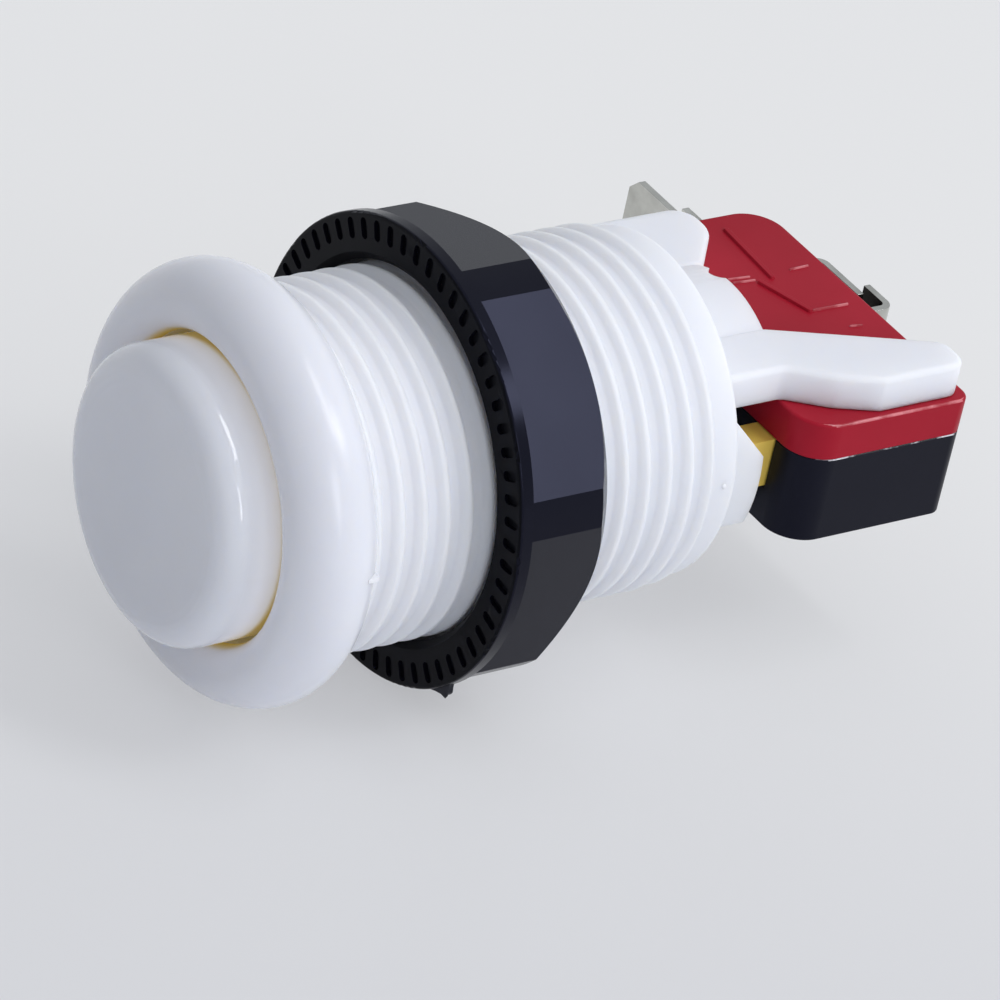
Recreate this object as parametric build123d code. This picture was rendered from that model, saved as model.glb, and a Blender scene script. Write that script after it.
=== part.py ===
from build123d import *
import os
from math import atan2, sin, sqrt

# Arcade push button with a snap-action switch held across its rear.
# Millimetres. The button's axis is Y, its face looks towards -Y, and +Z is the switch cover's outward normal.
# The origin is on the axis in the plane of the bezel's underside, where the button sits on its panel.

# Bezel
bezel_d = 32.9            # outside diameter
bezel_height = 6.35       # front of the bezel above the panel
bezel_round = 4.0         # outer part of the bezel's rounded section
mouth_round = 2.1         # inner part, where the bezel turns into the bore
under_round = 0.4         # rounding of the bezel's underside edge

# Barrel and its thread
thread_d = 27.7           # crest diameter
thread_depth = 0.55
thread_pitch = 1.94
crest_width = 0.3
flank_width = 0.45
first_crest = 1.3         # from the panel to the first crest
land_d = 28.0             # plain land under the bezel, which centres the button in its hole
land_length = 0.4
thread_stop = 1.9         # plain barrel behind the last ridge
barrel_length = 33.1      # panel to the rear of the barrel
barrel_wall = 1.85        # from the bore to the thread's root
floor_thickness = 2.5     # rear wall of the barrel
rear_round = 0.5

# Plunger
plunger_gap = 0.35        # running gap in the bore, on the radius
plunger_rise = 3.55       # face above the front of the bezel
plunger_travel = 2.2
face_round = 2.0          # rounded edge of the face
face_dish = 0.25          # depth of the shallow hollow in the face
dish_margin = 2.6         # plain rim around that hollow
face_thickness = 2.0
skirt_wall = 1.6
skirt_length = 22.0       # from the face to the end of the skirt
leg_offset = 9.1          # legs stand this far from the axis, in line with the switch's actuator
leg_thickness = 2.3
leg_width = 4.0
leg_slit = 1.0            # slit that lets each leg spring inwards
leg_gap = 0.35            # room around a leg in the rear wall
barb_reach = 1.1          # how far a barb hooks past the leg
barb_length = 1.7
barb_gap = 0.1            # barb to the rear wall at rest
far_leg_tail = 0.3        # far leg past its barb

# Return spring
spring_d = 9.6            # outside diameter
spring_wire = 0.8
spring_sides = 8          # the wire's section is a polygon
spring_turns = 10
spring_end_gap = 0.1
spring_fit = 0.6          # post inside the spring, on the radius
body_post = 12.0          # guide post on the rear wall
plunger_post = 6.0        # guide post under the face

# Panel nut
nut_front = 10.6          # panel to the nut's front face, as photographed
nut_thickness = 8.8
nut_flange_d = 35.4
nut_flange = 1.1          # thickness of the round flange
nut_flats = 31.6          # across the hexagon's flats
nut_corner_d = 34.9       # hexagon's corners are turned to this
nut_rear_chamfer = 1.5    # along the axis
nut_gap = 0.25            # bore over the thread's crests, on the radius
nut_lead_in = 0.6         # chamfer at both ends of the bore
nut_turn = 15.0           # a corner's angle from +X
dimples = 60              # oblong dimples around the front face
dimple_r = 16.45          # middle of a dimple from the axis
dimple_length = 1.6       # along the radius
dimple_width = 0.75
dimple_depth = 0.35
dimple_turn = 2.5         # a dimple's angle from +X

# Snap-action switch
switch_length = 27.8      # along X
switch_depth = 15.0       # along Y
switch_height = 10.3      # along Z
switch_x = 0.2            # middle of the switch from the axis
switch_gap = 5.3          # barrel's rear to the switch's front wall
cover_height = 3.05
case_wall = 1.6
large_corner = 3.0        # near-front and far-rear corners
small_corner = 1.2        # the other two
cover_round = 0.25
cover_hollow = 1.4        # depth of the cover's inside
hole_spacing_x = 22.2
hole_spacing_y = 10.3
hole_d = 3.2
hole_boss_d = 5.4
fit_gap = 0.1             # gap between pieces that only just clear

# Actuator of the switch
actuator_x = 8.9          # from the middle of the switch
actuator_width = 2.4      # along X
actuator_height = 4.2     # along Z
actuator_rise = 2.8       # proud of the switch's front wall
shoulder_reach = 0.8
shoulder_length = 1.0
shoulder_gap = 0.05       # shoulder to the inside of the front wall at rest

# Yoke that holds the switch
arm_thickness = 2.8
arm_round = 0.5
arch_d = 18.4             # outside diameter of the arch between the arms
arch_wall = 1.7
arch_length = 6.7         # behind the barrel
notch_x = -1.7            # small notch in the arch's rear edge
notch_d = 2.2
notch_depth = 0.7
peg_gap = 0.15            # peg in the switch's hole, on the radius
peg_length = 3.4
neck_outer_x = 9.75       # near edge of the long arm's neck
neck_length = 5.3         # neck behind the barrel
neck_round = 1.5          # where the neck turns into the flare
bend_x = 12.0             # bend in the flare
bend_length = 3.2         # neck's end to that bend
flare_round = 3.0
arm_outer_x = 13.5        # near edge of the long arm's end
arm_flare = 6.6           # length over which the near edge flares out
elbow_round = 0.8         # where the flare ends
arm_tip = 1.75            # arm past its peg
arm_tip_width = 3.2
tab_outer_x = 12.0        # far edge of the short arm
tab_inner_x = 8.5         # near corner of its end
tab_tip = 3.4             # short arm past its peg
tab_root = 0.9            # its near edge past the arch, where the two meet
tab_outer_round = 2.0
tab_inner_round = 2.5
stop_d = 24.8             # outside diameter of the stop tab
stop_wall = 1.2
stop_length = 2.9
stop_low = 3.95           # tab below the switch's mid plane
stop_high = 2.2           # top of the tab at its end
stop_foot = 5.6           # top of the tab at the barrel

# Terminals and contacts
sheet = 0.65              # common terminal
strip = 0.6               # the other two
strip_width = 4.0
blade_tab_width = 6.35
blade_tab_length = 9.6
blade_tab_chamfer = 1.0
blade_tab_hole_d = 1.8
blade_tab_hole = 5.4      # hole from the tip
shoulder_width = 8.4
shoulder_depth = 2.9
common_depth = 9.88       # common terminal behind the switch's front wall
pivot_x = -6.8            # contact blade's pivot, from the middle of the switch
contact_x = 3.8           # contacts, from the middle of the switch
contact_blade_t = 0.3
contact_blade_width = 3.8
contact_blade_tail = 0.7  # blade past its pivot
contact_blade_over = 1.5  # blade past the actuator's middle
contact_d = 2.4
contact_head = 0.6
shank_d = 1.4
shank_gap = 0.05
contact_gap = 0.05        # closed contacts, at rest
contact_open_gap = 0.1    # open contact, at full travel
snap_t = 0.25
snap_width = 2.4
snap_bow = 0.9            # how far the snap spring bows out
snap_span = 6.0           # along X
snap_rise = 1.8           # along Y
snap_gap = 0.5            # snap spring to the common terminal's post
closed_exit_x = -10.2     # rear strips, from the middle of the switch
closed_flange = 5.6
closed_reach = 4.2        # strip's outer face behind the switch
open_exit_x = -2.8
open_flange = 3.4
open_reach = 5.5
bend_round = 1.0          # outside of the strips' bends
floor_run = 1.8           # width of the strip that crosses the switch's floor
tab_side = 2.2            # contact strips past the middle of their contact

# Worked out from the sizes above
crest_r = thread_d / 2
root_r = crest_r - thread_depth
bore_r = root_r - barrel_wall
floor_y = barrel_length - floor_thickness
plunger_r = bore_r - plunger_gap
face_y = -bezel_height - plunger_rise
seat_y = face_y + face_thickness
skirt_inner_r = plunger_r - skirt_wall
spring_mean_r = (spring_d - spring_wire) / 2
post_r = spring_d / 2 - spring_wire - spring_fit
switch_front = barrel_length + switch_gap
switch_rear = switch_front + switch_depth
switch_y = switch_front + switch_depth / 2
switch_top = switch_height / 2
parting_z = switch_top - cover_height
case_floor = -switch_top + case_wall
inner_front = switch_front + case_wall
near_x = switch_x + switch_length / 2
far_x = switch_x - switch_length / 2
near_peg = (switch_x + hole_spacing_x / 2, switch_y + hole_spacing_y / 2)
far_peg = (switch_x - hole_spacing_x / 2, switch_y - hole_spacing_y / 2)
arm_inner = switch_top + fit_gap
arm_outer = arm_inner + arm_thickness
actuator_at = switch_x + actuator_x
actuator_tip = switch_front - actuator_rise
shoulder_front = inner_front + shoulder_gap
nose_y = shoulder_front + shoulder_length + actuator_width / 2 - fit_gap
blade_front = nose_y + fit_gap
blade_rear = blade_front + contact_blade_t
pivot_at = switch_x + pivot_x
contact_at = switch_x + contact_x
blade_turn = atan2(plunger_travel, actuator_at - pivot_at)
lift = (contact_at - pivot_at) * sin(blade_turn)
tilt_room = contact_d / 2 * sin(blade_turn)
closed_face = blade_front - contact_head - contact_gap
closed_strip = closed_face - contact_head - strip
open_face = blade_rear + contact_head + lift + tilt_room + contact_open_gap
open_strip = open_face + contact_head
common_y = switch_front + common_depth
inner_rear = switch_rear - case_wall
closed_at = switch_x + closed_exit_x
open_at = switch_x + open_exit_x


def turned(*edges):
    """Solid turned about the button's axis from a closed profile of (radius, distance along the axis)."""
    return revolve(make_face(edges), axis=Axis.Y)


def along_axis(sketch, start, end):
    """Sketch in X and Z, pushed along the axis from start to end."""
    plane = Plane(origin=(0, end, 0), x_dir=(1, 0, 0), z_dir=(0, -1, 0))
    return extrude(plane * sketch, amount=end - start)


def plan(sketch, low, high):
    """Sketch in X and Y, raised from low to high."""
    return extrude(Plane.XY.offset(low) * sketch, amount=high - low)


def block(x, y, z):
    """Box from pairs of limits."""
    size = [high - low for low, high in (x, y, z)]
    middle = [(low + high) / 2 for low, high in (x, y, z)]
    return Pos(*middle) * Box(*size)


def upright(spot, diameter, low, high):
    """Cylinder along Z at a spot of the plan."""
    return Pos(spot[0], spot[1], (low + high) / 2) * Cylinder(diameter / 2, high - low)


def rod(x, diameter, start, end):
    """Cylinder along the axis direction, at X and the mid plane."""
    return Pos(x, 0, 0) * along_axis(Circle(diameter / 2), start, end)


def ring_edges(part, radius, y):
    """Circular edges about the axis, of one radius, in one plane."""
    near = 0.01
    circles = part.edges().filter_by(GeomType.CIRCLE)
    return circles.filter_by(lambda e: abs(e.radius - radius) < near and abs(e.arc_center.Y - y) < near)


def outline(points, radii):
    """Plan outline of straight runs, with a radius for each corner."""
    path = FilletPolyline(*[Vector(x, y) for x, y in points], radius=radii, close=True)
    return make_face(path)


def thread_profile():
    """Points of the barrel's outside, a ridge for each turn of the thread."""
    land_r = land_d / 2
    points = [(land_r, 0), (land_r, land_length), (root_r, land_length)]
    crest = first_crest
    while crest + crest_width / 2 + flank_width < barrel_length - thread_stop + 0.001:
        half = crest_width / 2
        points.append((root_r, crest - half - flank_width))
        points.append((crest_r, crest - half))
        points.append((crest_r, crest + half))
        points.append((root_r, crest + half + flank_width))
        crest += thread_pitch
    points.append((root_r, barrel_length))
    return points


def barrel():
    """Bezel, barrel and rear wall, turned in one."""
    inner = min(mouth_round, 0.45 * (bezel_d / 2 - bore_r))
    mouth = Vector(bore_r + inner, inner - bezel_height)
    ring_r = bezel_d / 2 - bezel_round
    ring = Vector(ring_r, mouth.Y + sqrt((bezel_round - inner) ** 2 - (mouth.X - ring_r) ** 2))
    joint = ring + (mouth - ring).normalized() * bezel_round
    under_r = ring_r + sqrt(bezel_round**2 - ring.Y**2)
    mouth_arc = RadiusArc((bore_r, mouth.Y), joint, -inner)
    outer_arc = RadiusArc(joint, (under_r, 0), -bezel_round)
    post_y = floor_y - body_post
    inside = [(0, barrel_length), (0, post_y), (post_r, post_y), (post_r, floor_y), (bore_r, floor_y)]
    wall = Polyline((under_r, 0), *thread_profile(), *inside, (bore_r, mouth.Y))
    part = turned(*mouth_arc.edges(), *outer_arc.edges(), *wall.edges())
    part = fillet(ring_edges(part, under_r, 0), under_round)
    part = fillet(ring_edges(part, root_r, barrel_length), rear_round)
    for side in (-1, 1):
        low = leg_offset - leg_thickness / 2 - leg_gap
        half = leg_width / 2 + leg_gap
        reach = sorted((side * low, side * sqrt(bore_r**2 - half**2)))
        part -= block(reach, (floor_y - 1, barrel_length + 1), (-half, half))
    return part


def arch():
    """Arched bridge between the arms, above and below the switch."""
    shell = Circle(arch_d / 2) - Circle(arch_d / 2 - arch_wall)
    shell -= Rectangle(arch_d, 2 * arm_inner)
    end = barrel_length + arch_length
    notch = upright((notch_x, end + notch_d / 2 - notch_depth), notch_d, arm_inner, arch_d)
    return along_axis(shell, barrel_length, end) - notch


def long_arm():
    """Arm over the cover to the near rear hole."""
    crease = sqrt((arch_d / 2) ** 2 - arm_outer**2)
    root = barrel_length - floor_thickness / 2
    neck_end = barrel_length + neck_length
    end = near_peg[1] + arm_tip
    tip_round = min(arm_tip, arm_tip_width / 2) * 0.9
    points = [
        (neck_outer_x, root),
        (neck_outer_x, neck_end),
        (bend_x, neck_end + bend_length),
        (arm_outer_x, neck_end + arm_flare),
        (arm_outer_x, end),
        (arm_outer_x - arm_tip_width, end),
        (crease, barrel_length + arch_length),
        (crease, root),
    ]
    sketch = outline(points, [0, neck_round, flare_round, elbow_round, tip_round, tip_round, neck_round, 0])
    arm = plan(sketch, arm_inner, arm_outer)
    arm = fillet(arm.edges().group_by(Axis.Z)[-1], arm_round)
    return arm + upright(near_peg, hole_d - 2 * peg_gap, arm_inner - peg_length, arm_inner)


def short_arm():
    """Arm to the far front hole."""
    crease = sqrt((arch_d / 2) ** 2 - arm_outer**2)
    root = barrel_length - floor_thickness / 2
    arch_end = barrel_length + arch_length
    end = far_peg[1] + tab_tip
    points = [
        (-tab_outer_x, root),
        (-tab_outer_x, end),
        (-tab_inner_x, end),
        (-crease, arch_end + tab_root),
        (-crease, root),
    ]
    arm = plan(outline(points, [0, tab_outer_round, tab_inner_round, 0, 0]), arm_inner, arm_outer)
    arm = fillet(arm.edges().group_by(Axis.Z)[-1], arm_round)
    return arm + upright(far_peg, hole_d - 2 * peg_gap, arm_inner - peg_length, arm_inner)


def stop_tab():
    """Curved tab behind the barrel's near side."""
    shell = Circle(stop_d / 2) - Circle(stop_d / 2 - stop_wall)
    root = barrel_length - floor_thickness / 2
    end = barrel_length + stop_length
    side = Polyline((root, -stop_low), (end, -stop_low), (end, stop_high), (barrel_length, stop_foot),
                    (root, stop_foot), close=True)
    return along_axis(shell, root, end) & extrude(Plane.YZ * make_face(side), amount=stop_d / 2)


def button_body():
    """The one-piece moulding."""
    lower = mirror(short_arm(), about=Plane.XY)
    return barrel() + arch() + long_arm() + short_arm() + lower + stop_tab()


def leg(end):
    """Near leg of the plunger, slit and barbed to snap through the rear wall."""
    x = (leg_offset - leg_thickness / 2, leg_offset + leg_thickness / 2)
    half = leg_width / 2
    skirt_end = face_y + skirt_length
    part = block(x, (skirt_end - 2 * leg_width, end), (-half, half))
    hook = barrel_length + barb_gap
    for side in (-1, 1):
        wedge = Polyline((hook, side * (half - 0.2)), (hook, side * (half + barb_reach)),
                         (hook + barb_length, side * half), (hook + barb_length, side * (half - 0.2)), close=True)
        part += extrude(Plane.YZ.offset(x[0]) * make_face(wedge), amount=leg_thickness)
    part -= block((x[0] - 1, x[1] + 1), (floor_y - leg_width, end + 1), (-leg_slit / 2, leg_slit / 2))
    return part


def plunger():
    """Cup with a rounded face, a spring post and two legs."""
    dish_r = plunger_r - dish_margin
    skirt_end = face_y + skirt_length
    dish = ThreePointArc((0, face_y + face_dish), (dish_r / 2, face_y + face_dish * 0.75), (dish_r, face_y))
    flat = Line((dish_r, face_y), (plunger_r - face_round, face_y))
    corner = RadiusArc((plunger_r - face_round, face_y), (plunger_r, face_y + face_round), -face_round)
    rest = Polyline((plunger_r, face_y + face_round), (plunger_r, skirt_end), (skirt_inner_r, skirt_end),
                    (skirt_inner_r, seat_y), (post_r, seat_y), (post_r, seat_y + plunger_post),
                    (0, seat_y + plunger_post), (0, face_y + face_dish))
    cup = turned(*dish.edges(), *flat.edges(), *corner.edges(), *rest.edges())
    far_end = barrel_length + barb_gap + barb_length + far_leg_tail
    return cup + leg(actuator_tip - fit_gap) + mirror(leg(far_end), about=Plane.YZ)


def return_spring():
    """Coil between the plunger's face and the rear wall."""
    start = seat_y + spring_end_gap + spring_wire / 2
    height = floor_y - spring_end_gap - spring_wire / 2 - start
    path = Helix(height / spring_turns, height, spring_mean_r, center=(0, start, 0), direction=(0, 1, 0))
    return sweep(Plane(origin=path @ 0, z_dir=path % 0) * RegularPolygon(spring_wire / 2, spring_sides), path=path)


def panel_nut():
    """Nut with a round flange in front of its hexagon."""
    bore = crest_r + nut_gap
    end = nut_front + nut_thickness
    flat_r = nut_flats / 2
    corner_r = nut_corner_d / 2
    step = nut_front + nut_flange
    shape = [(bore, nut_front + nut_lead_in), (bore + nut_lead_in, nut_front), (corner_r, nut_front),
             (corner_r, end - nut_rear_chamfer), (flat_r, end), (bore + nut_lead_in, end),
             (bore, end - nut_lead_in)]
    body = turned(*Polyline(*shape, close=True).edges())
    hexagon = Rot(0, 0, nut_turn) * RegularPolygon(flat_r, 6, major_radius=False)
    body &= along_axis(hexagon, nut_front, end)
    rim = along_axis(Circle(nut_flange_d / 2) - Circle((bore + flat_r) / 2), nut_front, step)
    rim = fillet(ring_edges(rim, nut_flange_d / 2, nut_front), nut_flange / 4)
    dimple = SlotOverall(dimple_length, dimple_width)
    ring = Sketch() + [place * dimple for place in PolarLocations(dimple_r, dimples, dimple_turn)]
    return body + rim - along_axis(ring, nut_front, nut_front + dimple_depth)


def case_plan(inset=0.0):
    """Plan of the switch's case, with two large and two small corners."""
    x0, x1 = far_x + inset, near_x - inset
    y0, y1 = switch_front + inset, switch_rear - inset
    large = max(large_corner - inset, 0)
    small = max(small_corner - inset, 0)
    return outline([(x0, y0), (x1, y0), (x1, y1), (x0, y1)], [small, large, small, large])


def case_hollow(inset, low, high):
    """Room inside the case, clear of the bosses around its two holes."""
    room = plan(case_plan(inset), low, high)
    for spot in (near_peg, far_peg):
        room -= upright(spot, hole_boss_d, low - 1, high + 1)
    return room


def switch_base():
    """Lower case, open on top, with ways out for the actuator and the terminals."""
    part = plan(case_plan(), -switch_top, parting_z) - case_hollow(case_wall, case_floor, parting_z + 1)
    for spot in (near_peg, far_peg):
        part -= upright(spot, hole_d, -switch_top - 1, parting_z + 1)
    top = parting_z + 1
    half = actuator_width / 2 + fit_gap
    part -= block((actuator_at - half, actuator_at + half), (switch_front - 1, inner_front + 1),
                  (-actuator_height / 2 - fit_gap, top))
    half = sheet / 2 + fit_gap
    part -= block((far_x - 1, far_x + case_wall + 1), (common_y - half, common_y + half),
                  (-contact_blade_width / 2 - fit_gap, top))
    half = strip / 2 + fit_gap
    for way in (closed_at, open_at):
        part -= block((way - half, way + half), (inner_rear - 1, switch_rear + 1), (-strip_width / 2 - fit_gap, top))
    return part


def switch_cover():
    """Upper case, a shallow lid."""
    part = plan(case_plan(), parting_z, switch_top)
    part = fillet(part.edges().group_by(Axis.Z)[-1], cover_round)
    part -= case_hollow(case_wall + cover_round, parting_z - 1, parting_z + cover_hollow)
    for spot in (near_peg, far_peg):
        part -= upright(spot, hole_d, parting_z - 1, switch_top + 1)
    return part


def switch_actuator():
    """Pin with a stop shoulder inside the case and a round nose on the blade."""
    z = (-actuator_height / 2, parting_z - fit_gap)
    half = actuator_width / 2
    mid = shoulder_front + shoulder_length
    stem = block((actuator_at - half, actuator_at + half), (actuator_tip, mid), z)
    stem = fillet(stem.edges().group_by(Axis.Y)[0], half / 3)
    reach = half + shoulder_reach
    stem += block((actuator_at - reach, actuator_at + reach), (shoulder_front, mid), z)
    nose = upright((actuator_at, nose_y - half), actuator_width, *z)
    return stem + nose


def common_terminal():
    """Blade outside, run and post inside."""
    edge = far_x - fit_gap
    half = sheet / 2
    z = (-contact_blade_width / 2, contact_blade_width / 2)
    run = block((edge - half, pivot_at + half), (common_y - half, common_y + half), z)
    post = block((pivot_at - half, pivot_at + half), (blade_rear + fit_gap, common_y + half), z)
    wide = block((edge - shoulder_depth, edge), (common_y - half, common_y + half),
                 (-shoulder_width / 2, shoulder_width / 2))
    tip = edge - blade_tab_length
    side = blade_tab_width / 2
    shape = Polyline((edge - half, -side), (tip + blade_tab_chamfer, -side), (tip, -side + blade_tab_chamfer),
                     (tip, side - blade_tab_chamfer), (tip + blade_tab_chamfer, side), (edge - half, side),
                     close=True)
    tab = make_face(shape) - Pos(tip + blade_tab_hole, 0) * Circle(blade_tab_hole_d / 2)
    return run + post + wide + along_axis(tab, common_y - half, common_y + half)


def normally_closed_terminal():
    """Upright in front of the blade, run under it, flange behind the case."""
    low = case_floor + fit_gap
    half = strip / 2
    z = (-strip_width / 2, strip_width / 2)
    back = inner_rear - fit_gap
    run_x = (pivot_at - sheet / 2 - fit_gap, pivot_at - sheet / 2 - fit_gap + floor_run)
    tab = block((contact_at - tab_side, contact_at + tab_side), (closed_strip, closed_strip + strip), (low, z[1]))
    tab -= rod(contact_at, shank_d + 2 * shank_gap, closed_strip - 1, closed_strip + 1)
    run = block((run_x[0], contact_at + tab_side), (closed_strip, closed_strip + floor_run), (low, low + strip))
    run += block(run_x, (closed_strip, back), (low, low + strip))
    run += block((closed_at - half, run_x[1]), (back - floor_run, back), (low, low + strip))
    riser = block((closed_at - half, closed_at + half), (back - floor_run, back), (low, z[1]))
    end = switch_rear + closed_reach
    shape = [(closed_at - half, back - floor_run), (closed_at + half, back - floor_run),
             (closed_at + half, end - strip), (closed_at - half + closed_flange, end - strip),
             (closed_at - half + closed_flange, end), (closed_at - half, end)]
    flange = plan(outline(shape, [0, 0, bend_round - strip, 0, 0, bend_round]), *z)
    return tab + run + riser + flange


def normally_open_terminal():
    """Strip behind the blade, out through the rear wall and bent over."""
    half = strip / 2
    end = switch_rear + open_reach
    shape = [(contact_at + tab_side, open_strip), (open_at - half, open_strip), (open_at - half, end - strip),
             (open_at + half - open_flange, end - strip), (open_at + half - open_flange, end),
             (open_at + half, end), (open_at + half, open_strip + strip), (contact_at + tab_side, open_strip + strip)]
    part = plan(outline(shape, [0, bend_round, bend_round - strip, 0, 0, bend_round, bend_round - strip, 0]),
                -strip_width / 2, strip_width / 2)
    return part - rod(contact_at, shank_d + 2 * shank_gap, open_strip - 1, open_strip + 1)


def contact_blade():
    """Moving blade from its pivot to under the actuator."""
    part = block((pivot_at - contact_blade_tail, actuator_at + contact_blade_over), (blade_front, blade_rear),
                 (-contact_blade_width / 2, contact_blade_width / 2))
    return part - rod(contact_at, shank_d + 2 * shank_gap, blade_front - 1, blade_rear + 1)


def snap_spring():
    """Bowed strip from the common terminal's post to the blade."""
    x0 = pivot_at + sheet / 2 + snap_gap
    y1 = blade_rear + snap_t
    x1, y0 = x0 + snap_span, y1 + snap_rise
    chord = sqrt(snap_span**2 + snap_rise**2)
    middle = ((x0 + x1) / 2 + snap_bow * snap_rise / chord, (y0 + y1) / 2 + snap_bow * snap_span / chord)
    bow = trace(ThreePointArc((x0, y0), middle, (x1, y1)), line_width=snap_t)
    return plan(bow, -snap_width / 2, snap_width / 2)


def moving_contact():
    """Rivet through the blade, a head on each side."""
    shank = rod(contact_at, shank_d, blade_front - contact_head / 2, blade_rear + contact_head / 2)
    front = rod(contact_at, contact_d, blade_front - contact_head, blade_front)
    return shank + front + rod(contact_at, contact_d, blade_rear, blade_rear + contact_head)


def normally_closed_contact():
    """Rivet on the strip in front of the blade."""
    head = rod(contact_at, contact_d, closed_face - contact_head, closed_face)
    return head + rod(contact_at, shank_d, closed_strip, closed_face)


def normally_open_contact():
    """Rivet on the strip behind the blade."""
    head = rod(contact_at, contact_d, open_face, open_strip)
    return head + rod(contact_at, shank_d, open_face, open_strip + strip)


os.makedirs("parts", exist_ok=True)
for make in (button_body, plunger, return_spring, panel_nut, switch_base, switch_cover, switch_actuator,
             common_terminal, normally_closed_terminal, normally_open_terminal, contact_blade, snap_spring,
             moving_contact, normally_closed_contact, normally_open_contact):
    export_step(make(), f"parts/{make.__name__}.step")
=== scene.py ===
import math

import bmesh
import bpy
from mathutils import Matrix, Vector


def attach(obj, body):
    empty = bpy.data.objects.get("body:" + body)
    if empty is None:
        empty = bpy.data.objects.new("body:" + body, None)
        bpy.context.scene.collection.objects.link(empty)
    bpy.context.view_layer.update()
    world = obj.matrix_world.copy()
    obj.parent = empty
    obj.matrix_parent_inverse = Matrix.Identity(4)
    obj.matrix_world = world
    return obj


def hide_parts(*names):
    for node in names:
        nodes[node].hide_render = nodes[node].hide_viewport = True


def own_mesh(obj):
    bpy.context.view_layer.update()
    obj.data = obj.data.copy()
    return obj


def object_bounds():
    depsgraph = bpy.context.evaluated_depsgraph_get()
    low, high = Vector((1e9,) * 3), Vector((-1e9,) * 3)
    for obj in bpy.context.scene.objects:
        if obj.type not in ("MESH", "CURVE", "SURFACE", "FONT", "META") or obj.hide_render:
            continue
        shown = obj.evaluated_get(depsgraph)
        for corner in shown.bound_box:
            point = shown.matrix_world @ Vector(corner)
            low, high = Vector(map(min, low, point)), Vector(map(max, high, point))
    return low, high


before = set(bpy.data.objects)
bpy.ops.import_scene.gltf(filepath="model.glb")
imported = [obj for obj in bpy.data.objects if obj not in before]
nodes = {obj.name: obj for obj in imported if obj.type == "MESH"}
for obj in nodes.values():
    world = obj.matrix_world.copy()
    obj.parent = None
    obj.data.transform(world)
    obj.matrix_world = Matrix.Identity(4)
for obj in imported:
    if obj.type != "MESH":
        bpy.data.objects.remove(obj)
cad_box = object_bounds()

# Lengths of the part are in millimetres, as in its source, and become metres when a mesh is made.
MM = 0.001
WELD = 2e-6               # metres; points nearer than this become one

# Thread on the barrel
ROOT_R = 13.3
CREST_R = 13.85
PITCH = 1.94
CREST_WIDTH = 0.3
FLANK_WIDTH = 0.45
CORNER_SHIFTS = (-0.06, -0.03, 0.0, 0.03, 0.06)  # averaged, to soften the profile's corners
FIRST_CREST = 1.3         # at +X; the crest comes nearer to the bezel with the angle towards +Z
THREAD_SPAN = (0.5, 30.85)
FADE_IN = (0.55, 0.95)
FADE_OUT = (30.3, 30.8)
THREAD_STEPS = 160        # around the barrel
THREAD_ROWS = (           # places across the thread, from its crest
    -0.97, -0.72, -0.62, -0.55, -0.3, -0.21, -0.14, -0.06,
    0.06, 0.14, 0.21, 0.3, 0.55, 0.62, 0.72,
)

# The source's rings, which the helix takes the place of
RING_SPAN = (0.4, 31.0)
RING_SLACK = 0.02         # in finding points on them
LAND_SLACK = 0.002        # the same at their front end, where the land under the bezel is close
LOOP_SLACK = 0.01         # in finding the open edges at their ends

# Marks of the mould; radius and place along the axis, or radius and degrees from +X towards +Z
FLASH = ((15.3, -1.1), (16.14, -1.0), (16.05, -0.08), (15.3, -0.05))
FLASH_TURN = (5.5, 6.6)
FLASH_STEPS = 4
DOT_AT = (13.2, 4.7)
DOT_Y = 31.93
DOT_R = 0.24
DOT_DIVISIONS = 2
NIB = (
    (17.5, -54.0), (17.75, -51.0), (18.05, -48.8), (18.4, -47.6),
    (18.3, -46.6), (17.95, -45.8), (17.5, -44.2),
)
NIB_SPAN = (10.95, 11.55)

# Contact diagram in relief on the cover: ends in X and Y, width, height
BARS = (
    ((-11.6, 48.42), (-4.8, 48.0), 0.55, 0.22),
    ((-4.4, 46.65), (0.1, 48.1), 0.55, 0.22),
)
FINE_LINES = (
    ((-5.55, 44.4), (-5.38, 46.25), 0.2, 0.12),
    ((-5.0, 44.55), (-4.85, 46.4), 0.2, 0.12),
    ((-5.3, 50.1), (-5.38, 51.8), 0.2, 0.12),
    ((0.17, 48.4), (0.2, 51.6), 0.22, 0.14),
    ((2.9, 49.98), (3.06, 50.92), 0.2, 0.12),
)
LINE_SINK = 0.05          # foot of a line below the cover's top
LINE_TOP = 0.7            # share of its width that is left on top
LINE_END_POINTS = 7       # around each end

# Edges: how far they are rounded, and angles in degrees
BODY_EDGE = 0.12
NUT_EDGE = 0.14
BASE_EDGE = 0.1
COVER_EDGE = 0.08
TERMINAL_EDGE = 0.06
NIB_EDGE = 0.15
LINE_EDGE = 0.04
EDGE_STEPS = 2
EDGE_ANGLE = 30.0         # edges sharper than this are rounded
NUT_EDGE_ANGLE = 14.0     # finds the edges beside the nut's turned corners too
FLAT_ANGLE = 0.5          # triangles nearer to one plane than this are joined
SMOOTH_ANGLE = 35.0       # edges sharper than this stay sharp in the shading
COIL_SMOOTH_ANGLE = 60.0

# Other places
BEZEL_BACK = -0.05        # the bezel is glossier than the barrel behind it
BARREL_END = 33.1
SWITCH_TOP = 5.15

# Texture of the materials: cells per metre, and depth in metres
TONE_CELLS = 90.0
PAINTED_HIGHLIGHT_CELLS = 420.0
GLOSS_CELLS = 60.0
GRAIN_CELLS = 2500.0
GRAIN_DEPTH = 3e-6
TARNISH_CELLS = 350.0
DRAWN_CELLS = 1500.0
DRAWN_DEPTH = 12e-6
RELIEF_STRENGTH = 0.5
NOISE_SPAN = (0.3, 0.7)   # most of a noise lies in this
TONE_CHANGE = 0.2         # distance from the noise's middle to the darkest and the lightest tone
TARNISH_CHANGE = 0.18

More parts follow.
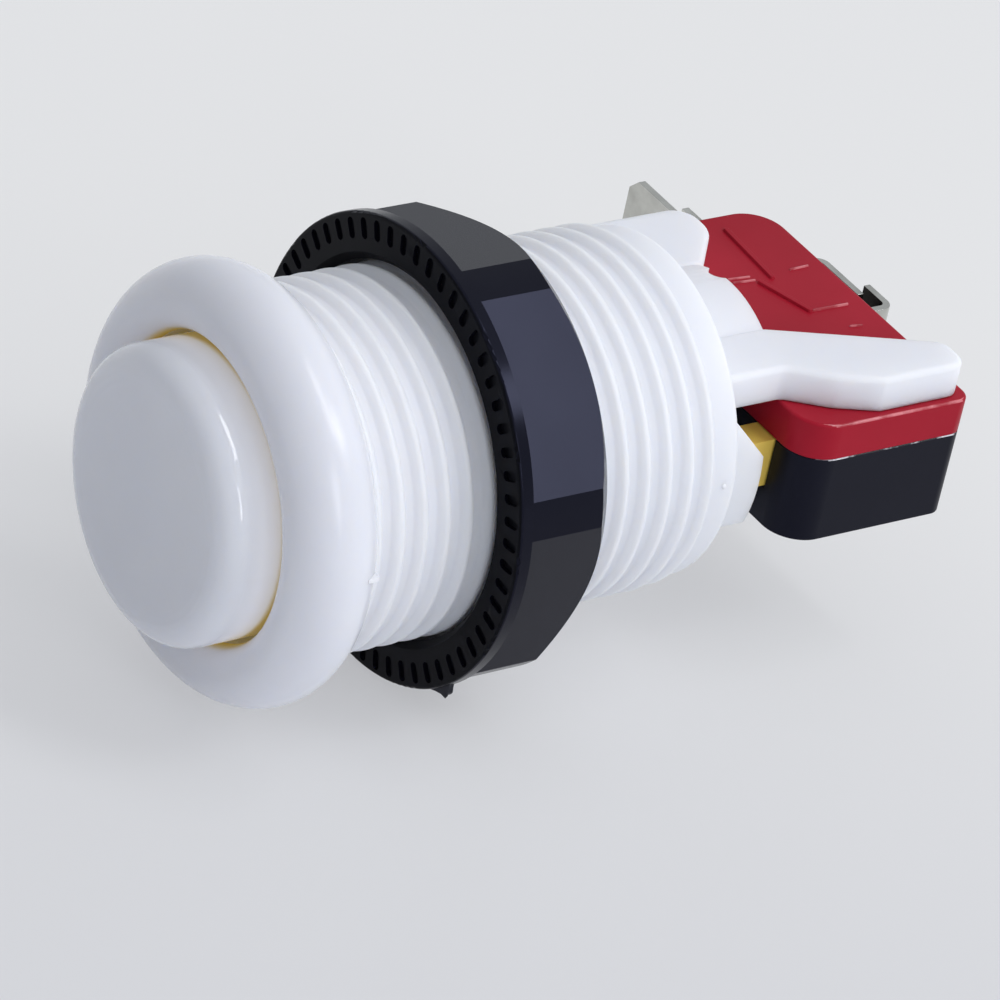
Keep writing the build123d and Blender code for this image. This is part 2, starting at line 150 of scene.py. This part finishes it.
# Sockets of a Mix node, which has the same names for every type of data
COLOUR_MIX = dict(share=0, first=6, second=7, result=2)
VALUE_MIX = dict(share=0, first=2, second=3, result=0)


# Shader helpers

def new_material(name, **sockets):
    """A Principled material with constants set on the shader's own sockets."""
    mat = bpy.data.materials.new(name)
    mat.use_nodes = True
    bsdf = mat.node_tree.nodes["Principled BSDF"]
    for key, value in sockets.items():
        bsdf.inputs[key.replace("_", " ")].default_value = value
    return mat, mat.node_tree, bsdf


def add(tree, kind, **settings):
    """A new node with some of its settings."""
    node = tree.nodes.new(kind)
    for key, value in settings.items():
        setattr(node, key, value)
    return node


def feed(tree, socket, value):
    """Give a socket another node's output or a plain value."""
    if isinstance(value, bpy.types.NodeSocket):
        tree.links.new(value, socket)
    else:
        socket.default_value = value


def worked(tree, kind, operation, *values):
    """A Math or Vector Math node with its inputs."""
    node = add(tree, kind, operation=operation)
    for socket, value in zip(node.inputs, values):
        feed(tree, socket, value)
    return node


def calc(tree, operation, *values):
    return worked(tree, "ShaderNodeMath", operation, *values).outputs["Value"]


def place(tree, output="Object"):
    """Coordinates, the part's own ones unless another output is named."""
    return add(tree, "ShaderNodeTexCoord").outputs[output]


def noise(tree, cells, detail, stretch=(1, 1, 1)):
    """Noise in the part's own coordinates."""
    mapping = add(tree, "ShaderNodeMapping")
    mapping.inputs["Scale"].default_value = stretch
    tree.links.new(place(tree), mapping.inputs["Vector"])
    node = add(tree, "ShaderNodeTexNoise")
    node.inputs["Scale"].default_value = cells
    node.inputs["Detail"].default_value = detail
    tree.links.new(mapping.outputs["Vector"], node.inputs["Vector"])
    return node.outputs["Fac"]


def ramp(tree, source, *stops):
    """Colour ramp of two stops, each a position and a colour."""
    node = add(tree, "ShaderNodeValToRGB")
    for element, (position, colour) in zip(node.color_ramp.elements, stops):
        element.position = position
        element.color = (*colour, 1)
    tree.links.new(source, node.inputs["Fac"])
    return node.outputs["Color"]


def mapped(tree, source, span, onto, kind="LINEAR"):
    """A value in one span mapped onto another and held at its ends."""
    node = add(tree, "ShaderNodeMapRange", interpolation_type=kind)
    for key, value in zip(("From Min", "From Max", "To Min", "To Max"), (*span, *onto)):
        node.inputs[key].default_value = value
    tree.links.new(source, node.inputs["Value"])
    return node.outputs["Result"]


def between(tree, source, span):
    """0 at the start of a span, 1 at its end, smooth between them."""
    return mapped(tree, source, span, (0.0, 1.0), "SMOOTHSTEP")


def mixed(tree, share, first, second, sockets=COLOUR_MIX, data_type="RGBA"):
    """Blend of two colours or values by a share."""
    node = add(tree, "ShaderNodeMix", data_type=data_type)
    for key, value in (("share", share), ("first", first), ("second", second)):
        feed(tree, node.inputs[sockets[key]], value)
    return node.outputs[sockets["result"]]


def relief(tree, bsdf, height, depth):
    """Fine relief from a height."""
    node = add(tree, "ShaderNodeBump")
    node.inputs["Strength"].default_value = RELIEF_STRENGTH
    node.inputs["Distance"].default_value = depth
    tree.links.new(height, node.inputs["Height"])
    tree.links.new(node.outputs["Normal"], bsdf.inputs["Normal"])


def seen_directly(tree):
    """Light path, and whether a ray comes from the camera, a reflection or a clear piece."""
    path = add(tree, "ShaderNodeLightPath")
    share = path.outputs["Is Camera Ray"]
    for kind in ("Is Glossy Ray", "Is Transmission Ray"):
        share = calc(tree, "MAXIMUM", share, path.outputs[kind])
    return path, share


# Materials

def painted_glow_and_tint(tree, bsdf, colour, keep, shift, tint, tint_span, glow, glow_span, power, low):
    """Painted tint and painted glow of a deep place, standing in for light through the plastic.

    The depth is the length of the place, in metres, after a scale for each axis and a shift. The
    light has the glow's colour and its power, and goes over to the tint and the low power where
    the tint sets in.
    """
    scaled = worked(tree, "ShaderNodeVectorMath", "MULTIPLY_ADD", place(tree), keep, shift)
    length = worked(tree, "ShaderNodeVectorMath", "LENGTH", scaled.outputs["Vector"])
    depth = length.outputs["Value"]
    share = between(tree, depth, tint_span)
    strength = calc(tree, "MULTIPLY_ADD", share, low - power, power)
    strength = calc(tree, "MULTIPLY", between(tree, depth, glow_span), strength)
    tree.links.new(strength, bsdf.inputs["Emission Strength"])
    tree.links.new(mixed(tree, share, (*glow, 1), (*tint, 1)), bsdf.inputs["Emission Color"])
    return mixed(tree, share, colour, (*tint, 1))


def plastic(name, dark, light, rough, cells=TONE_CELLS, change=TONE_CHANGE, deep=None, **sockets):
    """Moulded plastic: uneven tone and gloss, a fine grain, and any painted glow and tint of a
    deep place.
    """
    mat, tree, bsdf = new_material(name, **sockets)
    tone = noise(tree, cells, 4.0)
    colour = ramp(tree, tone, (0.5 - change, dark), (0.5 + change, light))
    if deep:
        colour = painted_glow_and_tint(tree, bsdf, colour, **deep)
    tree.links.new(colour, bsdf.inputs["Base Color"])
    gloss = noise(tree, GLOSS_CELLS, 3.0)
    tree.links.new(mapped(tree, gloss, NOISE_SPAN, rough), bsdf.inputs["Roughness"])
    relief(tree, bsdf, noise(tree, GRAIN_CELLS, 2.0), GRAIN_DEPTH)
    return mat


def metal(name, dark, light, rough, stretch=(1, 1, 1)):
    """Metal with tarnish and a drawn grain."""
    mat, tree, bsdf = new_material(name, Metallic=1.0)
    tone = noise(tree, TARNISH_CELLS, 6.0)
    colour = ramp(tree, tone, (0.5 - TARNISH_CHANGE, dark), (0.5 + TARNISH_CHANGE, light))
    tree.links.new(colour, bsdf.inputs["Base Color"])
    drawn = noise(tree, DRAWN_CELLS, 3.0, stretch)
    tree.links.new(mapped(tree, drawn, NOISE_SPAN, rough), bsdf.inputs["Roughness"])
    relief(tree, bsdf, drawn, DRAWN_DEPTH)
    return mat


# What several materials share
OCHRE = (0.66, 0.48, 0.07)
TAN = (0.68, 0.54, 0.20)
PLAIN = dict(IOR=1.5)
SOFT = dict(
    IOR=1.5, Subsurface_Weight=1.0, Subsurface_Scale=0.0025, Subsurface_Radius=(1.0, 0.94, 0.86),
)
SHEEN = dict(IOR=1.5, Specular_IOR_Level=0.19, Specular_Tint=(0.60, 0.64, 1.0, 1))
DULL = dict(IOR=1.5, Specular_IOR_Level=0.07, Specular_Tint=(0.8, 0.84, 1.0, 1))
JET = ((0.003, 0.003, 0.006), (0.005, 0.005, 0.009))
ALONG_Z = (1, 1, 0.15)
ALONG_X = (0.15, 1, 1)

# Painted glow and tint: the bezel's mouth glows towards its bore, and the plunger's side towards
# the mouth
MOUTH_PAINTED_GLOW = dict(
    keep=(1, 1, 1), shift=(0, 0.004, 0), tint=OCHRE, tint_span=(0.0119, 0.0113),
    glow=OCHRE, glow_span=(0.0119, 0.0113), power=0.03, low=0.13,
)
PLUNGER_SIDE_PAINTED_GLOW = dict(
    keep=(0, 1, 0), shift=(0, 0, 0), tint=TAN, tint_span=(0.0054, 0.0047),
    glow=(1.0, 0.97, 0.96), glow_span=(0.0088, 0.0056), power=0.20, low=0.13,
)

WHITE = plastic("white_moulding", (0.765, 0.77, 0.82), (0.795, 0.80, 0.85), (0.22, 0.27),
                deep=MOUTH_PAINTED_GLOW, **SOFT)
# The barrel's white is also a little lighter than the bezel's: painted light on what is one
# moulding
SATIN = plastic("white_barrel", (0.815, 0.82, 0.865), (0.845, 0.85, 0.89), (0.46, 0.54), **SOFT)
MARK = plastic("white_marks", (0.84, 0.84, 0.88), (0.88, 0.88, 0.91), (0.40, 0.48), **PLAIN)
CAP = plastic("white_plunger", (0.745, 0.755, 0.81), (0.775, 0.785, 0.835), (0.04, 0.07),
              deep=PLUNGER_SIDE_PAINTED_GLOW, **SOFT)
BLACK = plastic("black_nut", *JET, (0.18, 0.25), **SHEEN)
FLANGE = plastic("black_nut_face", (0.002, 0.002, 0.003), (0.004, 0.004, 0.006), (0.40, 0.52),
                 **DULL)
CASE = plastic("black_case", *JET, (0.32, 0.42), **SHEEN)
# Paler colours, broken up by noise, for edges that face the lamps: painted highlights
PAINTED_HIGHLIGHT_CASE = plastic("black_case_painted_highlight", (0.01, 0.01, 0.015), (0.70, 0.70, 0.74), (0.15, 0.25),
                    PAINTED_HIGHLIGHT_CELLS, 0.04, **PLAIN)
RED = plastic("red_cover", (0.34, 0.007, 0.020), (0.40, 0.010, 0.027), (0.34, 0.44),
              Specular_IOR_Level=0.12, **PLAIN)
PAINTED_HIGHLIGHT_RED = plastic("red_painted_highlight", (0.40, 0.03, 0.045), (0.64, 0.17, 0.19), (0.15, 0.25),
                   PAINTED_HIGHLIGHT_CELLS, 0.06, **PLAIN)
YELLOW = plastic("yellow_pin", (0.80, 0.56, 0.10), (0.88, 0.62, 0.12), (0.35, 0.45), **PLAIN)
PLATED = metal("plated_terminal", (0.42, 0.42, 0.39), (0.62, 0.62, 0.58), (0.12, 0.28), ALONG_Z)
# Dark metal for the terminals' faces towards the bezel: painted shade of the dark case beside them
PAINTED_SHADE_METAL = metal("terminal_painted_shade", (0.03, 0.027, 0.027), (0.07, 0.06, 0.06), (0.3, 0.45),
                ALONG_Z)
STEEL = metal("spring_steel", (0.38, 0.39, 0.41), (0.55, 0.56, 0.58), (0.2, 0.35))
BRASS = metal("blade_brass", (0.48, 0.31, 0.12), (0.62, 0.42, 0.18), (0.22, 0.4), ALONG_X)
SILVER = metal("contact_silver", (0.62, 0.61, 0.58), (0.78, 0.77, 0.74), (0.2, 0.35))

for name, mat in {
    "button_body": WHITE,
    "plunger": CAP,
    "return_spring": STEEL,
    "panel_nut": BLACK,
    "switch_base": CASE,
    "switch_cover": RED,
    "switch_actuator": YELLOW,
    "common_terminal": PLATED,
    "normally_closed_terminal": PLATED,
    "normally_open_terminal": PLATED,
    "contact_blade": BRASS,
    "snap_spring": STEEL,
    "moving_contact": SILVER,
    "normally_closed_contact": SILVER,
    "normally_open_contact": SILVER,
}.items():
    mesh = nodes[name].data
    mesh.materials.clear()
    mesh.materials.append(mat)


# Mesh helpers

def node_copy(name):
    """Mesh data of a node, with the seams between its faces closed."""
    bm = bmesh.new()
    bm.from_mesh(nodes[name].data)
    bmesh.ops.remove_doubles(bm, verts=bm.verts, dist=WELD)
    return bm


def soften(bm, width, low_y=-math.inf, angle=EDGE_ANGLE):
    """Round the sharp edges behind a plane, after joining the triangles of flat faces."""
    flat = math.radians(FLAT_ANGLE)
    bmesh.ops.dissolve_limit(bm, angle_limit=flat, verts=bm.verts, edges=bm.edges)
    sharp = []
    for edge in bm.edges:
        behind = min(v.co.y for v in edge.verts) > low_y
        inner = len(edge.link_faces) == 2
        if behind and inner and edge.calc_face_angle() > math.radians(angle):
            sharp.append(edge)
    bmesh.ops.bevel(bm, geom=sharp, offset=width * MM, segments=EDGE_STEPS, profile=0.5,
                    affect="EDGES", clamp_overlap=True)


def piece(name, bm, mat, body, smooth_angle=SMOOTH_ANGLE):
    """A new piece from finished mesh data, smooth except at its edges."""
    bmesh.ops.recalc_face_normals(bm, faces=bm.faces)
    mesh = bpy.data.meshes.new(name)
    bm.to_mesh(mesh)
    bm.free()
    mesh.materials.append(mat)
    mesh.shade_smooth()
    mesh.set_sharp_from_angle(angle=math.radians(smooth_angle))
    obj = bpy.data.objects.new(name, mesh)
    bpy.context.scene.collection.objects.link(obj)
    even = obj.modifiers.new("even", "WEIGHTED_NORMAL")
    even.keep_sharp = True
    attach(obj, body)
    return obj


def second_material(obj, mat, chosen):
    """Give the chosen faces of a piece a material of their own."""
    obj.data.materials.append(mat)
    for face in obj.data.polygons:
        face.material_index = int(chosen(face))


def around(r, angle, y):
    """Point at a radius and an angle about the axis, in metres."""
    return Vector((r * math.cos(angle), y, r * math.sin(angle))) * MM


def swept(bm, profile, turn, count):
    """Closed profile of (radius, place along the axis) swept about the axis between two angles."""
    rings = []
    for i in range(count + 1):
        angle = math.radians(turn[0] + (turn[1] - turn[0]) * i / count)
        rings.append([bm.verts.new(around(r, angle, y)) for r, y in profile])
    for first, second in zip(rings, rings[1:]):
        for i in range(len(profile)):
            k = (i + 1) % len(profile)
            bm.faces.new((first[i], first[k], second[k], second[i]))
    bm.faces.new(rings[0])
    bm.faces.new(rings[-1])


def slab(bm, foot, top):
    """Closed solid between two outlines of the same number of points."""
    low = [bm.verts.new(Vector(p) * MM) for p in foot]
    high = [bm.verts.new(Vector(p) * MM) for p in top]
    for i in range(len(low)):
        k = (i + 1) % len(low)
        bm.faces.new((low[i], low[k], high[k], high[i]))
    bm.faces.new(low)
    bm.faces.new(high)


def raised_line(bm, start, end, width, height):
    """Raised line on the cover, round at its ends, narrower on top."""
    run = (Vector(end) - Vector(start)).normalized()
    heading = math.atan2(run.y, run.x)
    levels = ((width / 2, SWITCH_TOP - LINE_SINK), (width / 2 * LINE_TOP, SWITCH_TOP + height))
    outlines = []
    for half, z in levels:
        points = []
        for (x, y), turn in ((end, -90), (start, 90)):
            for i in range(LINE_END_POINTS):
                angle = heading + math.radians(turn + 180 * i / (LINE_END_POINTS - 1))
                points.append((x + half * math.cos(angle), y + half * math.sin(angle), z))
        outlines.append(points)
    slab(bm, *outlines)


# Body, with one helical thread in place of the source's rings

def eased(low, high, value):
    """0 up to low, 1 from high on, smooth between them."""
    t = min(max((value - low) / (high - low), 0.0), 1.0)
    return t * t * (3 - 2 * t)


def ridge(offset):
    """Height of the thread at a distance from its crest, 0 to 1, with softened corners."""
    total = 0.0
    for shift in CORNER_SHIFTS:
        rise = (CREST_WIDTH / 2 + FLANK_WIDTH - abs(offset + shift)) / FLANK_WIDTH
        total += min(max(rise, 0.0), 1.0)
    return total / len(CORNER_SHIFTS)


def thread_point(crest, offset, share):
    """Point of the helix, at a share of the turn that starts at a crest."""
    y = min(max(crest + offset - PITCH * share, THREAD_SPAN[0]), THREAD_SPAN[1])
    full = eased(*FADE_IN, y) * (1 - eased(*FADE_OUT, y))
    r = ROOT_R + (CREST_R - ROOT_R) * ridge(offset) * full
    return around(r, 2 * math.pi * share, y)


def thread_skin(bm):
    """Skin of the helix, its rows running along the thread."""
    turns = math.ceil((THREAD_SPAN[1] - FIRST_CREST) / PITCH) + 1
    grid = []
    for turn in range(-1, turns + 1):
        crest = FIRST_CREST + PITCH * turn
        for offset in THREAD_ROWS:
            shares = [step / THREAD_STEPS for step in range(THREAD_STEPS)]
            grid.append([bm.verts.new(thread_point(crest, offset, s)) for s in shares])
    for i, (row, after) in enumerate(zip(grid, grid[1:])):
        for j in range(THREAD_STEPS - 1):
            bm.faces.new((row[j], row[j + 1], after[j + 1], after[j]))
        back = i - len(THREAD_ROWS)
        if back >= 0:
            bm.faces.new((row[-1], grid[back][0], grid[back + 1][0], after[-1]))
    bmesh.ops.remove_doubles(bm, verts=[v for row in grid for v in row], dist=WELD)


def on_rings(vert):
    """Whether a point lies on the source's rings."""
    r = math.hypot(vert.co.x, vert.co.z) / MM
    y = vert.co.y / MM
    along = RING_SPAN[0] - LAND_SLACK < y < RING_SPAN[1] + RING_SLACK
    return along and ROOT_R - RING_SLACK < r < CREST_R + RING_SLACK


def close_between(bm, low, high):
    """Bridge the two open loops of edges that lie between two planes."""
    low, high = (low - LOOP_SLACK) * MM, (high + LOOP_SLACK) * MM
    loops = []
    for edge in bm.edges:
        if len(edge.link_faces) == 1 and all(low <= v.co.y <= high for v in edge.verts):
            loops.append(edge)
    bmesh.ops.bridge_loops(bm, edges=loops)


def behind_bezel(face):
    return face.center.y > BEZEL_BACK * MM


def body_moulding():
    """The source's body with its rings cut out and the helix put in."""
    bm = node_copy("button_body")
    rings = [f for f in bm.faces if all(on_rings(v) for v in f.verts)]
    bmesh.ops.delete(bm, geom=rings, context="FACES")
    soften(bm, BODY_EDGE, BARREL_END * MM - WELD)
    thread_skin(bm)
    close_between(bm, RING_SPAN[0], THREAD_SPAN[0])
    close_between(bm, THREAD_SPAN[1], RING_SPAN[1])
    obj = piece("body_moulding", bm, WHITE, "body")
    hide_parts("button_body")
    second_material(obj, SATIN, behind_bezel)


body_moulding()


# Pieces whose edges are rounded a little

def rounded(node, width, mat, body, other=None, chosen=None, angle=EDGE_ANGLE):
    """Copy of a node with its edges rounded; chosen faces can have another material."""
    bm = node_copy(node)
    soften(bm, width, angle=angle)
    obj = piece(f"{node}_rounded", bm, mat, body)
    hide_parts(node)
    if other:
        second_material(obj, other, chosen)


def to_bezel(face):
    return face.normal.y < -0.6


# Faces of an edge turned to +X and +Z, towards the lamps, where a highlight is painted
def painted_highlight_edge(face):
    x, y, z = face.normal
    return x > 0.3 and z > 0.3 and abs(y) < 0.2


rounded("panel_nut", NUT_EDGE, BLACK, "nut", FLANGE, to_bezel, NUT_EDGE_ANGLE)
# The near upper edges of the base and the cover get a painted highlight
rounded("switch_base", BASE_EDGE, CASE, "body", PAINTED_HIGHLIGHT_CASE, painted_highlight_edge)
rounded("switch_cover", COVER_EDGE, RED, "body", PAINTED_HIGHLIGHT_RED, painted_highlight_edge)
rounded("common_terminal", TERMINAL_EDGE, PLATED, "body")
# The outer terminals' faces towards the bezel are darkened: painted shade
for name in ("normally_closed_terminal", "normally_open_terminal"):
    rounded(name, TERMINAL_EDGE, PLATED, "body", PAINTED_SHADE_METAL, to_bezel)

# Return spring, copied as a piece of its own; the real one shortens with the plunger's travel
spring = piece("return_spring_coil", node_copy("return_spring"), STEEL, "body",
               COIL_SMOOTH_ANGLE)
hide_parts("return_spring")
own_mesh(spring)

# Flash at the bezel's edge and a dot behind the thread
bm = bmesh.new()
swept(bm, FLASH, FLASH_TURN, FLASH_STEPS)
spot = Matrix.Translation(around(DOT_AT[0], math.radians(DOT_AT[1]), DOT_Y))
bmesh.ops.create_icosphere(bm, subdivisions=DOT_DIVISIONS, radius=DOT_R * MM, matrix=spot)
piece("mould_marks", bm, MARK, "body")

# Nib on the nut's edge
bm = bmesh.new()
rim = []
for r, turn in NIB:
    angle = math.radians(turn)
    rim.append((r * math.cos(angle), r * math.sin(angle)))
slab(bm, *([(x, y, z) for x, z in rim] for y in NIB_SPAN))
soften(bm, NIB_EDGE)
piece("nut_nib", bm, BLACK, "nut")

# Relief on the cover
# The fine lines are drawn in the same paler red as the cover's painted highlight
for name, lines, mat in (("cover_bars", BARS, RED), ("cover_fine_lines", FINE_LINES, PAINTED_HIGHLIGHT_RED)):
    bm = bmesh.new()
    for line in lines:
        raised_line(bm, *line)
    soften(bm, LINE_EDGE)
    piece(name, bm, mat, "body")


# Camera at the photograph's viewing angle, in metres
CAMERA_AT = (0.303061, -0.229782, 0.246011)
CAMERA_RIGHT = (0.536771, 0.824513, 0.17904)
CAMERA_UP = (-0.541493, 0.173913, 0.82252)
CAMERA_BACK = (0.647041, -0.538454, 0.539819)

camera = bpy.data.cameras.new("camera")
camera.lens = 226.736
camera.sensor_width = 36.0
camera.clip_start = 0.05
camera.clip_end = 20.0
cam = bpy.data.objects.new("camera", camera)
aim = Matrix((CAMERA_RIGHT, CAMERA_UP, CAMERA_BACK)).transposed().to_4x4()
cam.matrix_world = Matrix.Translation(CAMERA_AT) @ aim
bpy.context.scene.collection.objects.link(cam)
bpy.context.scene.camera = cam


# Floor, pale, with painted shade that darkens it a little towards the camera; it keeps the part's
# soft shadow
FLOOR_HALF = 4            # metres
FLOOR_GAP = 0.0001        # below the part
FLOOR_FALL = (0.84, -0.55, 0)
FLOOR_FALL_SPAN = (-0.07, 0.05)
FLOOR_FAR = (0.40, 0.395, 0.38)
FLOOR_NEAR = (0.28, 0.28, 0.287)
FLOOR_BOUNCE = (0.84, 0.85, 0.88, 1)  # what the part is lit by
FLOOR_LIFT = 0.44         # brightness added where the floor is seen

floor_mat, tree, bsdf = new_material("floor", IOR=1.12, Roughness=0.3,
                                     Emission_Color=(0.95, 0.96, 1.0, 1))
fall = worked(tree, "ShaderNodeVectorMath", "DOT_PRODUCT", place(tree), FLOOR_FALL)
fall = between(tree, fall.outputs["Value"], FLOOR_FALL_SPAN)
tone = ramp(tree, fall, (0.0, FLOOR_FAR), (1.0, FLOOR_NEAR))
path, direct = seen_directly(tree)
tone = mixed(tree, path.outputs["Is Diffuse Ray"], tone, FLOOR_BOUNCE)
tree.links.new(tone, bsdf.inputs["Base Color"])
tree.links.new(calc(tree, "MULTIPLY", direct, FLOOR_LIFT), bsdf.inputs["Emission Strength"])

mesh = bpy.data.meshes.new("floor")
corners = [(x * FLOOR_HALF, y * FLOOR_HALF, 0) for x, y in ((-1, -1), (1, -1), (1, 1), (-1, 1))]
mesh.from_pydata(corners, [], [(0, 1, 2, 3)])
mesh.materials.append(floor_mat)
floor = bpy.data.objects.new("floor", mesh)
floor.location.z = cad_box[0].z - FLOOR_GAP
bpy.context.scene.collection.objects.link(floor)


# Light; directions are from the part, sizes in metres, powers in watts
LAMP_TARGET = (0, 0.022, 0)
LAMP_TINT = (0.95, 0.965, 1.0)


def softbox(name, direction, along, size, power):
    """Area light a metre away that looks at the part; its first size is along a direction."""
    lamp = bpy.data.lights.new(name, "AREA")
    lamp.shape = "RECTANGLE"
    lamp.size, lamp.size_y = size
    lamp.energy = power
    lamp.color = LAMP_TINT
    obj = bpy.data.objects.new(name, lamp)
    away = Vector(direction).normalized()
    side = (Vector(along) - away * away.dot(Vector(along))).normalized()
    turn = Matrix((side, away.cross(side), away)).transposed().to_4x4()
    obj.matrix_world = Matrix.Translation(Vector(LAMP_TARGET) + away) @ turn
    bpy.context.scene.collection.objects.link(obj)


softbox("key", (0.52, 0.5, 0.69), (0, 0, 1), (0.29, 0.29), 1.6)
softbox("side", (0.92, 0.0, 0.39), (0, 0, 1), (0.42, 0.12), 1.1)
softbox("overhead", (0.32, 0.3, 0.9), (0.94, 0, -0.33), (0.6, 0.13), 1.6)


# Surroundings: plain and pale where they are seen; their light is stronger from behind the part
SKY_TINT = (0.915, 0.95, 1.0, 1)
SKY_BRIGHT_SIDE = (0.35, 0.85, 0.3)
SKY_SPAN = (-0.9, 0.9)
SKY_STRENGTH = (0.17, 0.96)
SKY_SEEN = 0.64

world = bpy.data.worlds.new("studio")
world.use_nodes = True
tree = world.node_tree
background = tree.nodes["Background"]
background.inputs["Color"].default_value = SKY_TINT
view = place(tree, "Generated")
facing = worked(tree, "ShaderNodeVectorMath", "DOT_PRODUCT", view, SKY_BRIGHT_SIDE)
lit = mapped(tree, facing.outputs["Value"], SKY_SPAN, SKY_STRENGTH)
_, direct = seen_directly(tree)
strength = mixed(tree, direct, lit, SKY_SEEN, VALUE_MIX, "FLOAT")
tree.links.new(strength, background.inputs["Strength"])
bpy.context.scene.world = world
bpy.context.scene.view_settings.view_transform = "Standard"
